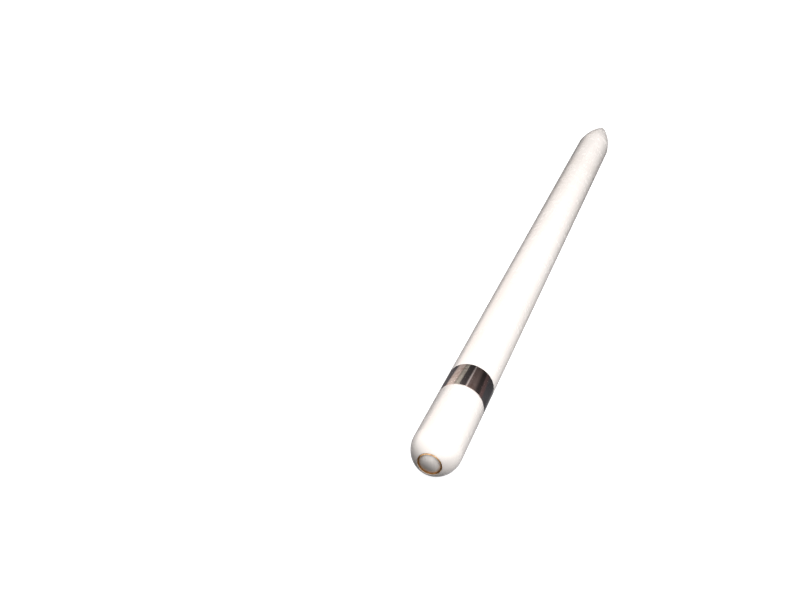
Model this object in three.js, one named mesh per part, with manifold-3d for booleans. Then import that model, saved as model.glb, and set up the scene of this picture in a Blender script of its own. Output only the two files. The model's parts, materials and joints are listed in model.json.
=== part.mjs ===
// A round white stylus pen for a touch screen, lying on its side.
//
// A pull-off cap held by a ring magnet covers a flat charging plug. A polished metal band trims the joint
// between cap and barrel, and the barrel tapers to a screw-on tip that presses on a force sensor.
//
// Millimetres, +Z up. The pen's axis runs along X, with the cap at -X and the tip at +X, and the origin is on
// the surface that the pen lies on, under the middle of its length.
// Stations ("...Station") are measured along the axis from the outermost point of the cap.

import * as THREE from "three";
import { mergeVertices } from "three/addons/utils/BufferGeometryUtils.js";
import Module from "manifold-3d";

const wasm = await Module();
wasm.setup();

// ---------------------------------------------------------------- driving dimensions

const overallLength = 175.7;
const bodyDiameter = 8.9;

// Fits. Every bore, seat and seam takes one of these.
const fitClearance = 0.05; // radial, between pieces that stay together
const turningClearance = 0.1; // radial, where one piece turns or slides in another
const seamGap = 0.04; // end to end, between pieces that stay together
const faceGap = 0.05; // face to face, inside the pen

const facets = 32; // around the axis; flats face up, down and to the sides
const smallFacets = 16;
const overcut = 1; // how far a cutting solid runs past what it cuts

const capLength = 17.6;
const capDomeLength = 4.9;
const capWall = 0.5;
const capSeamGap = 0.06;
const capEndWall = 3.2; // from the rim around the end disc to the inside of the dome
const linerWall = 0.4;
const linerFloor = 0.8;
const magnetLength = 2.4;
const discRadius = 1.88;
const discHeadThickness = 1.5;
const discStemRadius = 1.2;
const discCrown = 0.32; // how far the disc's middle stands out past its rim
const trimRingWall = 0.19;
const trimRingLength = 1.9;

const bandWidth = 6.8;
const bandWall = 0.4;

const catchRingLength = 2.8;
const catchRingReach = 0.8; // how far the catch ring stands out into the cap
const catchRingWall = 0.3;

const plugReach = 7.4; // the plug's length outside the collar
const plugThickness = 1.5;
const plugFrameWall = 0.3;
const plugSideRoom = 0.3; // between the plug's edges and the inside of the cap
const plugFlangeInset = 0.4; // the flange is this much narrower on each side than the plug
const plugFlangeHeight = 3.0;
const plugFlangeThickness = 1.2;
const plugFlangeDepth = 3.8; // from the collar's face to the flange
const contactCount = 8;
const contactRowInset = 0.32; // from the core's edge to the first contact
const contactShare = 0.62; // of the pitch that each contact fills
const contactLength = 2.4;
const contactSetback = 1.3; // from the plug's end to the contacts
const retainerLength = 4.2;

const collarSpigotLength = 7.0; // inside the barrel
const collarTenonLength = 3.0; // inside the chassis tube
const antennaLength = 4.0;
const antennaThickness = 0.2;
const antennaSetback = 1.0;

const barrelWall = 0.65;
const chassisWall = 0.25;

const trayLength = 44.5;
const trayWall = 0.3;
const trayRailWidth = 0.8;
const trayRailHeight = 0.5;
const boardLength = 42;
const boardThickness = 0.6;
const weightTopDrop = 1.5; // the weight's flat top lies this far under the axis
const flexThickness = 0.15;
const flexSeat = 0.01; // solder between a strip and its board
const plugFlexRise = 2.8; // the length of the step up from the plug to the board
const plugFlexInset = 0.7; // the strip is this much narrower on each side than the flange
const plugFlexOverlap = 2.0;
const sensorFlexWidth = 1.6;
const sensorFlexOverlap = 1.8;
const sensorFlexBend = 3.4;

const batteryPadThickness = 0.5;
const batteryGap = 3.4; // from the tray to the battery's rear board
const batteryBoardThickness = 0.5;
const batteryEndThickness = 0.4;

const frontTaperLength = 17.2; // from the barrel's full diameter to the point
const tipRadius = 1.1; // of the ball at the point
const frontSwell = 0.45; // how far the front taper stands out of a plain cone, at its middle
const tipLength = 9.2;
const tipGap = 0.35; // leaves room for the tip to press in
const noseBoreRadius = 2.0;
const noseBoreLength = 5.0;
const noseRecess = 0.5; // from the barrel's end to the bush
const stemRadius = 1.1;
const stemTailRadius = 0.77;
const stemShoulderRadius = 1.8;
const stemShoulderThickness = 0.7;
const stemShoulderInset = 0.2;
const studRadius = 0.98;
const studEndGap = 0.1; // from the stud's end to the insert's
const sealThickness = 0.6;
const sealRadius = 1.95;
const tipSeatRadius = 2.1; // of the recess in the tip that goes over the shoulder and the seal
const insertWall = 0.4;
const insertSetback = 4.75; // from the point to the insert's front end
const corePinRadius = 0.5;
const corePinLength = 2.2;

const sensorHousingLength = 7.5;
const sensorHousingWall = 0.45;
const sensorFrontWall = 0.8;
const sensorSetback = 1.5; // from the start of the taper to the housing's front
const sensorTenonLength = 3.0;
const sensorPlateThickness = 0.5;
const sensorPlateGap = 0.5;
const sensorPressGap = 0.3; // between the plate and the gauge ring it presses on
const gaugeRingThickness = 1.0;
const gaugeRingBore = 2.2;
const sensorBoardThickness = 0.5;
const nutAcrossFlats = 2.6;
const nutThickness = 0.7;
const emitterThickness = 1.0;
const emitterWidth = 0.8;

// ---------------------------------------------------------------- worked-out sizes

const bodyRadius = bodyDiameter / 2;

// Radii, from the outside in.
const barrelBore = bodyRadius - barrelWall;
const chassisRadius = barrelBore - fitClearance;
const chassisBore = chassisRadius - chassisWall;
const innerRadius = chassisBore - fitClearance; // what fits inside the chassis tube
const bandBore = bodyRadius - bandWall;
const collarRadius = bandBore - fitClearance;
const capBore = bodyRadius - capWall;
const linerRadius = capBore - fitClearance;
const capCavityRadius = linerRadius - linerWall;
const catchRingRadius = capBore - turningClearance;
const catchRingBore = catchRingRadius - catchRingWall;
const plugHalfWidth = capCavityRadius - plugSideRoom;
const batteryRadius = innerRadius - batteryPadThickness - fitClearance;
const trimRingBore = discRadius + fitClearance;
const trimRingRadius = trimRingBore + trimRingWall;
const capEndHole = trimRingRadius + fitClearance;

// The plug, across the pen.
const plugCoreHalfWidth = plugHalfWidth - plugFrameWall - plugThickness / 4;
const plugCoreLength = plugReach + plugFlangeDepth + plugFlangeThickness - plugFrameWall - fitClearance;
const plugFlangeWidth = 2 * (plugHalfWidth - plugFlangeInset);
const plugFlexWidth = plugFlangeWidth - 2 * plugFlexInset;
const contactPitch = (2 * (plugCoreHalfWidth - contactRowInset)) / (contactCount - 1 + contactShare);
const contactWidth = contactPitch * contactShare;

// Stations along the axis, from the cap's end. The dome is a quarter ellipse, and the end disc takes its place
// inside the rim.
const capRimStation = discCrown;
const capRimDepth = capDomeLength * (1 - Math.sqrt(1 - (capEndHole / bodyRadius) ** 2));
const domeStation = capRimStation - capRimDepth;
const bandStation = capLength + capSeamGap;
const barrelStation = bandStation + bandWidth + seamGap;
const plugStation = bandStation - plugReach;
const flangeStation = bandStation + plugFlangeDepth;
const retainerStation = flangeStation + plugFlangeThickness + faceGap;
const collarStepStation = barrelStation + collarSpigotLength;
const chassisStation = collarStepStation + faceGap;
const trayStation = collarStepStation + collarTenonLength + faceGap;
const boardStation = trayStation + (trayLength - boardLength) / 2;
const taperStation = overallLength - frontTaperLength;
const tipStation = overallLength - tipLength;
const noseStation = tipStation - tipGap;
const housingFront = taperStation - sensorSetback;
const housingStation = housingFront - sensorHousingLength;
const chassisEnd = housingStation + sensorTenonLength - faceGap;
const plateStation = housingFront - sensorFrontWall - sensorPlateGap - sensorPlateThickness;
const gaugeStation = plateStation - sensorPressGap - gaugeRingThickness;
const sensorBoardStation = gaugeStation - faceGap - sensorBoardThickness;
const batteryBoardStation = trayStation + trayLength + batteryGap;
const batteryStation = batteryBoardStation + batteryBoardThickness + batteryEndThickness + 2 * faceGap;
const batteryEnd = housingStation - batteryEndThickness - 2 * faceGap;
const shoulderStation = noseStation - stemShoulderInset;
const magnetStation = capLength - catchRingReach - turningClearance - magnetLength;
const linerStation = capRimStation + capEndWall + faceGap;
const insertEnd = overallLength - insertSetback;
const boreTaperStation = housingFront + emitterThickness + 2 * faceGap;

// The front cone touches the ball at the point.
const coneReach = frontTaperLength - tipRadius;
const coneAngle =
  Math.atan2(bodyRadius, coneReach) - Math.asin(tipRadius / Math.hypot(coneReach, bodyRadius));

const ballStation = overallLength - tipRadius * (1 - Math.sin(coneAngle));
const frontSteps = 4;

function frontRadius(station) {
  const share = (station - taperStation) / (ballStation - taperStation);
  const cone = bodyRadius - (station - taperStation) * Math.tan(coneAngle);
  return cone + frontSwell * Math.sin(Math.PI * share);
}

// Outline points of the front taper from one station to another, measured from a third.
function alongFront(from, to, origin) {
  return Array.from({ length: frontSteps + 1 }, (_, i) => {
    const station = from + ((to - from) * i) / frontSteps;
    return [station - origin, frontRadius(station)];
  });
}

// ---------------------------------------------------------------- finishes

function finish(color, roughness, metalness) {
  return () => new THREE.MeshStandardMaterial({ color, roughness, metalness });
}

const whiteGloss = finish(0xf5f3f0, 0.18, 0);
const whiteMatte = finish(0xe9e7e3, 0.5, 0);
const greyPlastic = finish(0x8d9096, 0.55, 0);
const blackPlastic = finish(0x1c1d20, 0.5, 0);
const darkMirror = finish(0x777472, 0.08, 1);
const steel = finish(0xb9bcc0, 0.3, 1);
const nickel = finish(0xc9c7bf, 0.25, 1);
const bronze = finish(0xa9763c, 0.25, 1);
const gold = finish(0xd9a94a, 0.25, 1);
const brass = finish(0xc49a4a, 0.3, 1);
const boardGreen = finish(0x1f5b3a, 0.5, 0);
const amberFilm = finish(0xb8741c, 0.4, 0);
const rubberGrey = finish(0x3a3b3e, 0.8, 0);
const cellSleeve = finish(0x3d4a63, 0.45, 0);

// ---------------------------------------------------------------- shape helpers

// A closed outline of [along, radius] points revolved about the X axis. Radii are those of the flats.
function turned(outline, sides = facets) {
  const area = outline.reduce((sum, [x0, r0], i) => {
    const [x1, r1] = outline[(i + 1) % outline.length];
    return sum + (x0 * r1 - x1 * r0);
  }, 0);
  const ordered = area < 0 ? outline : [...outline].reverse();
  const spread = 1 / Math.cos(Math.PI / sides);
  const points = [...ordered, ordered[0]].map(([x, r]) => new THREE.Vector2(r * spread, x));
  const onAxis = points.findIndex((p) => p.x === 0);
  if (onAxis >= 0) openOnAxis(points);
  return new THREE.LatheGeometry(points, sides, Math.PI / sides).rotateZ(-Math.PI / 2);
}

// Turns a closed outline with an edge on the axis into one that starts and ends there.
function openOnAxis(points) {
  points.pop();
  while (!(points[0].x === 0 && points[points.length - 1].x === 0)) points.push(points.shift());
}

// The outline of a plain tube or rod: from x0 to x1 between two radii.
function sleeve(x0, x1, inner, outer) {
  return [
    [x0, inner],
    [x1, inner],
    [x1, outer],
    [x0, outer],
  ];
}

function block(length, width, height) {
  return new THREE.BoxGeometry(length, width, height).translate(length / 2, 0, 0);
}

// A shape drawn across the pen (Y, Z), pushed along X.
function pushedAlong(shape, length, curveSegments = 6) {
  const swap = new THREE.Matrix4().set(0, 0, 1, 0, 1, 0, 0, 0, 0, 1, 0, 0, 0, 0, 0, 1);
  return new THREE.ExtrudeGeometry(shape, {
    depth: length,
    bevelEnabled: false,
    curveSegments,
  }).applyMatrix4(swap);
}

// A flexible strip: its side view is a list of [along, height] points, thickened and pushed across the pen.
function strip(route, width, thickness) {
  const path = route.map(([x, z]) => new THREE.Vector2(x, z));
  const side = (point, i, sign) => {
    const before = path[Math.max(i - 1, 0)];
    const after = path[Math.min(i + 1, path.length - 1)];
    const along = after.clone().sub(before).normalize();
    return point.clone().add(new THREE.Vector2(-along.y, along.x).multiplyScalar((sign * thickness) / 2));
  };
  const top = path.map((p, i) => side(p, i, 1));
  const under = path.map((p, i) => side(p, i, -1)).reverse();
  const outline = new THREE.Shape([...under, ...top]);
  return new THREE.ExtrudeGeometry(outline, { depth: width, bevelEnabled: false })
    .translate(0, 0, -width / 2)
    .rotateX(Math.PI / 2);
}

// A flat bar's cross-section with half-round edges.
function roundedBar(halfWidth, thickness) {
  const radius = thickness / 2;
  const flat = halfWidth - radius;
  const shape = new THREE.Shape();
  shape.moveTo(-flat, -radius);
  shape.lineTo(flat, -radius);
  shape.absarc(flat, 0, radius, -Math.PI / 2, Math.PI / 2, false);
  shape.lineTo(-flat, radius);
  shape.absarc(-flat, 0, radius, Math.PI / 2, (3 * Math.PI) / 2, false);
  return shape;
}

function solid(geometry) {
  const bare = geometry.clone();
  bare.deleteAttribute("normal");
  bare.deleteAttribute("uv");
  const merged = mergeVertices(bare, 1e-3);
  return new wasm.Manifold(
    new wasm.Mesh({
      numProp: 3,
      vertProperties: merged.attributes.position.array,
      triVerts: new Uint32Array(merged.index.array),
    }),
  );
}

function geometryOf(manifold) {
  const mesh = manifold.getMesh();
  return new THREE.BufferGeometry()
    .setAttribute("position", new THREE.BufferAttribute(new Float32Array(mesh.vertProperties), 3))
    .setIndex(new THREE.BufferAttribute(new Uint32Array(mesh.triVerts), 1));
}

function cut(geometry, ...tools) {
  return geometryOf(tools.reduce((whole, tool) => whole.subtract(solid(tool)), solid(geometry)));
}

function joined(...geometries) {
  return geometryOf(geometries.map(solid).reduce((whole, more) => whole.add(more)));
}

// ---------------------------------------------------------------- scene graph

const stylus = new THREE.Group();
stylus.position.set(-overallLength / 2, 0, bodyRadius);

// A named piece whose own X starts at a station.
function piece(name, station, geometry, material, across = 0, up = 0) {
  const mesh = new THREE.Mesh(geometry, material());
  mesh.name = name;
  mesh.position.set(station, across, up);
  stylus.add(mesh);
  return mesh;
}

// ---------------------------------------------------------------- cap

const domeSteps = 7;
const crownSteps = 3;

function domeOutline(fromRadius) {
  const start = Math.asin(fromRadius / bodyRadius);
  return Array.from({ length: domeSteps + 1 }, (_, i) => {
    const angle = start + ((Math.PI / 2 - start) * i) / domeSteps;
    return [domeStation + capDomeLength * (1 - Math.cos(angle)), bodyRadius * Math.sin(angle)];
  });
}

function capShell() {
  const domeFloor = capRimStation + capEndWall;
  return turned([
    ...domeOutline(capEndHole),
    [capLength, bodyRadius],
    [capLength, capBore],
    [domeFloor, capBore],
    [domeFloor, capEndHole],
  ]);
}

function capEndDisc() {
  const headEnd = discCrown + discHeadThickness;
  const stemEnd = capRimStation + capEndWall;
  const crown = Array.from({ length: crownSteps + 1 }, (_, i) => {
    const share = i / crownSteps;
    return [discCrown * share ** 2, discRadius * share];
  });
  return turned([
    ...crown,
    [headEnd, discRadius],
    [headEnd, discStemRadius],
    [stemEnd, discStemRadius],
    [stemEnd, 0],
  ]);
}

function capLiner() {
  const length = magnetStation - faceGap - linerStation;
  return turned([
    [0, 0],
    [0, linerRadius],
    [length, linerRadius],
    [length, capCavityRadius],
    [linerFloor, capCavityRadius],
    [linerFloor, 0],
  ]);
}

piece("cap_shell", 0, capShell(), whiteGloss);
piece("cap_end_disc", 0, capEndDisc(), whiteGloss);
piece(
  "cap_trim_ring",
  capRimStation,
  turned(sleeve(0, trimRingLength, trimRingBore, trimRingRadius)),
  bronze,
);
piece("cap_liner", linerStation, capLiner(), greyPlastic);
piece(
  "cap_magnet_ring",
  magnetStation,
  turned(sleeve(0, magnetLength, capCavityRadius, linerRadius - fitClearance)),
  nickel,
);

// ---------------------------------------------------------------- band and collar

piece("band", bandStation, turned(sleeve(0, bandWidth, bandBore, bodyRadius)), darkMirror);

// The catch ring sits on a turned-down nose of the collar and stands out past its face.
const catchSeatLength = catchRingLength - catchRingReach;
const catchNoseRadius = catchRingBore - fitClearance;
const antennaBore = chassisRadius - antennaThickness;

function endCollar() {
  const front = barrelStation - bandStation;
  const step = collarStepStation - bandStation;
  const antennaStart = front + antennaSetback;
  const body = turned([
    [0, 0],
    [0, catchNoseRadius],
    [catchSeatLength + faceGap, catchNoseRadius],
    [catchSeatLength + faceGap, collarRadius],
    [front - seamGap, collarRadius],
    [front - seamGap, chassisRadius],
    [antennaStart, chassisRadius],
    [antennaStart, antennaBore - fitClearance],
    [antennaStart + antennaLength, antennaBore - fitClearance],
    [antennaStart + antennaLength, chassisRadius],
    [step, chassisRadius],
    [step, innerRadius],
    [step + collarTenonLength, innerRadius],
    [step + collarTenonLength, 0],
  ]);
  const slot = pushedAlong(
    roundedBar(plugHalfWidth + fitClearance, plugThickness + 2 * fitClearance),
    plugFlangeDepth + 2 * overcut,
  ).translate(-overcut, 0, 0);
  const pocket = block(
    step + collarTenonLength,
    plugFlangeWidth + 2 * fitClearance,
    plugFlangeHeight + 2 * fitClearance,
  ).translate(plugFlangeDepth - faceGap, 0, 0);
  return cut(body, slot, pocket);
}

piece("end_collar", bandStation, endCollar(), whiteMatte);
piece(
  "catch_ring",
  bandStation - catchRingReach,
  turned(sleeve(0, catchRingLength, catchRingBore, catchRingRadius)),
  steel,
);
piece(
  "antenna_ring",
  barrelStation + antennaSetback + faceGap,
  turned(sleeve(0, antennaLength - 2 * faceGap, antennaBore, chassisRadius)),
  amberFilm,
);

// ---------------------------------------------------------------- charging plug

function contactOffset(i) {
  return (i - (contactCount - 1) / 2) * contactPitch;
}

// The frame is a rounded bar with a flange behind it, hollowed from the back for the core, with a window in
// each broad face where the contacts show.
function plugFrame() {
  const bar = pushedAlong(roundedBar(plugHalfWidth, plugThickness), plugReach + plugFlangeDepth);
  const flange = block(plugFlangeThickness, plugFlangeWidth, plugFlangeHeight).translate(
    plugReach + plugFlangeDepth,
    0,
    0,
  );
  const hollow = block(
    plugCoreLength + overcut,
    2 * (plugCoreHalfWidth + fitClearance),
    plugThickness - 2 * plugFrameWall,
  ).translate(plugFrameWall, 0, 0);
  const window = block(
    contactLength + 2 * plugFrameWall,
    2 * (plugCoreHalfWidth + fitClearance),
    plugThickness + overcut,
  ).translate(contactSetback - plugFrameWall, 0, 0);
  return cut(joined(bar, flange), hollow, window);
}

// The core fills the frame, and stands up into the windows around the contacts.
function plugCore() {
  const windowLength = contactLength + 2 * plugFrameWall;
  const tongue = block(
    plugCoreLength,
    2 * plugCoreHalfWidth,
    plugThickness - 2 * plugFrameWall - 2 * fitClearance,
  );
  const room = 2 * fitClearance;
  const land = block(windowLength - room, 2 * plugCoreHalfWidth, plugThickness - room);
  land.translate(contactSetback - 2 * plugFrameWall, 0, 0);
  const slot = block(contactLength + room, contactWidth + room, plugThickness + overcut);
  slot.translate(contactSetback - plugFrameWall - room, 0, 0);
  const slots = Array.from({ length: contactCount }, (_, i) =>
    slot.clone().translate(0, contactOffset(i), 0),
  );
  return cut(joined(tongue, land), ...slots);
}

function plugRetainer() {
  const body = block(retainerLength, plugFlangeWidth, plugFlangeHeight);
  const room = 4 * fitClearance;
  const channel = block(retainerLength + 2 * overcut, plugFlexWidth + room, flexThickness + room);
  return cut(body, channel.translate(-overcut, 0, 0));
}

piece("plug_frame", plugStation, plugFrame(), steel);
piece("plug_core", plugStation + plugFrameWall + fitClearance, plugCore(), blackPlastic);
for (let i = 0; i < contactCount; i++) {
  piece(
    `plug_contact_${i + 1}`,
    plugStation + contactSetback,
    block(contactLength, contactWidth, plugThickness),
    gold,
    contactOffset(i),
  );
}
piece("plug_retainer", retainerStation, plugRetainer(), blackPlastic);

// ---------------------------------------------------------------- barrel and chassis

function barrelShell() {
  const nose = noseStation - barrelStation;
  const coneEnd = nose - noseBoreLength;
  return turned([
    [0, barrelBore],
    [0, bodyRadius],
    ...alongFront(taperStation, noseStation, barrelStation),
    [nose, noseBoreRadius],
    [coneEnd, noseBoreRadius],
    [boreTaperStation - barrelStation, barrelBore],
  ]);
}

piece("barrel_shell", barrelStation, barrelShell(), whiteGloss);
piece(
  "chassis_tube",
  chassisStation,
  turned(sleeve(0, chassisEnd - chassisStation, chassisBore, chassisRadius)),
  steel,
);

// ---------------------------------------------------------------- board, its tray and the weight

const boardTop = boardThickness / 2;
const railTop = -boardTop - fitClearance / 2;
const trayBore = innerRadius - trayWall;
const boardWidth = 2 * Math.sqrt((innerRadius - fitClearance) ** 2 - boardTop ** 2);
const trayArcSteps = 14;

function arcShape(outer, inner, top, railBottom, railInset) {
  const outerAngle = Math.asin(top / outer);
  const innerAngle = Math.asin(railBottom / inner);
  const railEdge = outer * Math.cos(outerAngle) - railInset;
  const shape = new THREE.Shape();
  shape.moveTo(outer * Math.cos(outerAngle), top);
  shape.absarc(0, 0, outer, outerAngle, -Math.PI - outerAngle, true);
  shape.lineTo(-railEdge, top);
  shape.lineTo(-railEdge, railBottom);
  shape.absarc(0, 0, inner, -Math.PI - innerAngle, innerAngle, false);
  shape.lineTo(railEdge, railBottom);
  shape.lineTo(railEdge, top);
  return shape;
}

function segmentShape(radius, top) {
  const angle = Math.asin(top / radius);
  const shape = new THREE.Shape();
  shape.absarc(0, 0, radius, angle, -Math.PI - angle, true);
  return shape;
}

const trayShape = arcShape(innerRadius, trayBore, railTop, railTop - trayRailHeight, trayRailWidth);
const weightShape = segmentShape(trayBore - fitClearance, -weightTopDrop);

piece("board_tray", trayStation, pushedAlong(trayShape, trayLength, trayArcSteps), blackPlastic);
piece("main_board", boardStation, block(boardLength, boardWidth, boardThickness), boardGreen);
piece("roll_weight", boardStation, pushedAlong(weightShape, boardLength, trayArcSteps), steel);

// What stands on the board: [name, along the board, across, length, width, height, finish].
const boardParts = [
  ["radio_shield", 6.0, 0, 6.0, 4.4, 1.3, nickel],
  ["processor_chip", 14.5, 0, 4.0, 4.0, 0.8, blackPlastic],
  ["motion_sensor", 21.0, 0.6, 2.0, 2.0, 0.9, blackPlastic],
  ["clock_crystal", 25.0, 0, 1.6, 1.2, 0.5, nickel],
  ["charger_chip", 28.5, -0.4, 2.4, 2.4, 0.8, blackPlastic],
  ["power_coil", 33.0, 0, 2.5, 2.5, 1.2, rubberGrey],
];
for (const [name, along, across, length, width, height, material] of boardParts) {
  piece(
    name,
    boardStation + along,
    block(length, width, height),
    material,
    across,
    boardTop + height / 2,
  );
}

const flexLift = boardTop + flexThickness / 2 + flexSeat;

function plugFlex() {
  const start = retainerStation + fitClearance;
  const end = boardStation + plugFlexOverlap;
  const length = end - start;
  const riseEnd = length - plugFlexOverlap - faceGap;
  return strip(
    [
      [0, 0],
      [riseEnd - plugFlexRise, 0],
      [riseEnd - plugFlexRise / 2, flexLift / 2],
      [riseEnd, flexLift],
      [length, flexLift],
    ],
    plugFlexWidth,
    flexThickness,
  );
}

piece("plug_flex", retainerStation + fitClearance, plugFlex(), amberFilm);

// ---------------------------------------------------------------- battery

const batteryLength = batteryEnd - batteryStation;
const sensorFlexHeight = batteryRadius + flexThickness / 2 + fitClearance;

function batteryPad() {
  const shape = new THREE.Shape();
  shape.moveTo(innerRadius, 0);
  shape.absarc(0, 0, innerRadius, 0, -Math.PI, true);
  shape.lineTo(-batteryRadius - fitClearance, 0);
  shape.absarc(0, 0, batteryRadius + fitClearance, -Math.PI, 0, false);
  return pushedAlong(shape, batteryLength, trayArcSteps);
}

function sensorFlex() {
  const start = boardStation + boardLength - sensorFlexOverlap;
  const end = sensorBoardStation - faceGap;
  const riseEnd = batteryBoardStation - faceGap - start;
  const climb = sensorFlexHeight - flexLift;
  return strip(
    [
      [0, flexLift],
      [sensorFlexOverlap, flexLift],
      [riseEnd - sensorFlexBend, flexLift + climb / 4],
      [riseEnd - sensorFlexBend / 2, sensorFlexHeight - climb / 4],
      [riseEnd, sensorFlexHeight],
      [end - start, sensorFlexHeight],
    ],
    sensorFlexWidth,
    flexThickness,
  );
}

// A plain disc of the battery's size.
function batteryDisc(thickness) {
  return turned([
    [0, 0],
    [thickness, 0],
    [thickness, batteryRadius],
    [0, batteryRadius],
  ]);
}

const rearInsulatorStation = batteryStation - faceGap - batteryEndThickness;

piece("battery_board", batteryBoardStation, batteryDisc(batteryBoardThickness), boardGreen);
piece("battery_rear_insulator", rearInsulatorStation, batteryDisc(batteryEndThickness), rubberGrey);
piece("battery_cell", batteryStation, batteryDisc(batteryLength), cellSleeve);
piece("battery_front_insulator", batteryEnd + faceGap, batteryDisc(batteryEndThickness), rubberGrey);
piece("battery_pad", batteryStation, batteryPad(), rubberGrey);
piece("sensor_flex", boardStation + boardLength - sensorFlexOverlap, sensorFlex(), amberFilm);

// ---------------------------------------------------------------- force sensor

const housingBore = chassisRadius - sensorHousingWall;
const stemHole = stemRadius + turningClearance;

function sensorHousing() {
  const inside = sensorHousingLength - sensorFrontWall;
  return turned([
    [0, housingBore],
    [0, innerRadius],
    [sensorTenonLength, innerRadius],
    [sensorTenonLength, chassisRadius],
    [sensorHousingLength, chassisRadius],
    [sensorHousingLength, stemHole],
    [inside, stemHole],
    [inside, housingBore],
  ]);
}

const plateRadius = housingBore - 2 * turningClearance;
const nutStation = plateStation - faceGap - nutThickness;

piece("sensor_housing", housingStation, sensorHousing(), steel);
piece(
  "sensor_board",
  sensorBoardStation,
  turned([
    [0, 0],
    [sensorBoardThickness, 0],
    [sensorBoardThickness, housingBore - fitClearance],
    [0, housingBore - fitClearance],
  ]),
  boardGreen,
);
piece(
  "gauge_ring",
  gaugeStation,
  turned(sleeve(0, gaugeRingThickness, gaugeRingBore, housingBore - fitClearance)),
  brass,
);
piece(
  "sensor_plate",
  plateStation,
  turned(sleeve(0, sensorPlateThickness, stemTailRadius + fitClearance, plateRadius)),
  steel,
);
piece(
  "stem_nut",
  nutStation,
  turned(sleeve(0, nutThickness, stemTailRadius + fitClearance, nutAcrossFlats / 2), 6),
  steel,
);
piece(
  "tilt_emitter_ring",
  housingFront + faceGap,
  turned(sleeve(0, emitterThickness, stemHole + emitterWidth, plateRadius)),
  nickel,
);

// ---------------------------------------------------------------- nose bush, stem and tip

const bushRadius = noseBoreRadius - fitClearance;
piece(
  "nose_bush",
  noseStation - noseBoreLength + faceGap,
  turned(sleeve(0, noseBoreLength - noseRecess - faceGap, stemHole, bushRadius)),
  whiteMatte,
);

// One turned pin: a thin tail through the plate and nut, the stem, the shoulder and the threaded stud.
const tailStation = nutStation - faceGap;

function tipPost() {
  const at = (station) => station - tailStation;
  const plateFace = at(plateStation + sensorPlateThickness + faceGap);
  const shoulder = at(shoulderStation);
  const stud = shoulder + stemShoulderThickness;
  const studEnd = at(insertEnd - studEndGap);
  return turned(
    [
      [0, 0],
      [0, stemTailRadius],
      [plateFace, stemTailRadius],
      [plateFace, stemRadius],
      [shoulder, stemRadius],
      [shoulder, stemShoulderRadius],
      [stud, stemShoulderRadius],
      [stud, studRadius],
      [studEnd, studRadius],
      [studEnd, 0],
    ],
    smallFacets,
  );
}

piece("tip_post", tailStation, tipPost(), steel);

const sealStation = shoulderStation + stemShoulderThickness + faceGap;
const insertStation = sealStation + sealThickness + faceGap;
const studBore = studRadius + turningClearance;
const insertRadius = studBore + insertWall;
const corePinStation = insertEnd + faceGap;
const ballSteps = 4;

piece(
  "tip_seal_ring",
  sealStation,
  turned(sleeve(0, sealThickness, studBore, sealRadius), smallFacets),
  rubberGrey,
);

function tipShell() {
  const at = (station) => station - tipStation;
  const seatFloor = at(insertStation) - faceGap / 2;
  const insertFloor = at(insertEnd) + faceGap / 2;
  const pinBore = corePinRadius + turningClearance;
  const pinFloor = at(corePinStation + corePinLength) + faceGap;
  const ball = Array.from({ length: ballSteps + 1 }, (_, i) => {
    const angle = coneAngle + ((Math.PI / 2 - coneAngle) * i) / ballSteps;
    return [tipLength - tipRadius + tipRadius * Math.sin(angle), tipRadius * Math.cos(angle)];
  });
  ball[ballSteps][1] = 0;
  return turned([
    [0, tipSeatRadius],
    ...alongFront(tipStation, ballStation, tipStation).slice(0, frontSteps),
    ...ball,
    [pinFloor, 0],
    [pinFloor, pinBore],
    [insertFloor, pinBore],
    [insertFloor, insertRadius + fitClearance],
    [seatFloor, insertRadius + fitClearance],
    [seatFloor, tipSeatRadius],
  ]);
}

piece("tip_shell", tipStation, tipShell(), whiteGloss);
piece(
  "tip_insert",
  insertStation,
  turned(sleeve(0, insertEnd - insertStation, studBore, insertRadius)),
  brass,
);
piece(
  "tip_core_pin",
  corePinStation,
  turned(
    [
      [0, 0],
      [corePinLength, 0],
      [corePinLength, corePinRadius],
      [0, corePinRadius],
    ],
    smallFacets,
  ),
  nickel,
);

export default stylus;
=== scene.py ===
import json
import math

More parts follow.
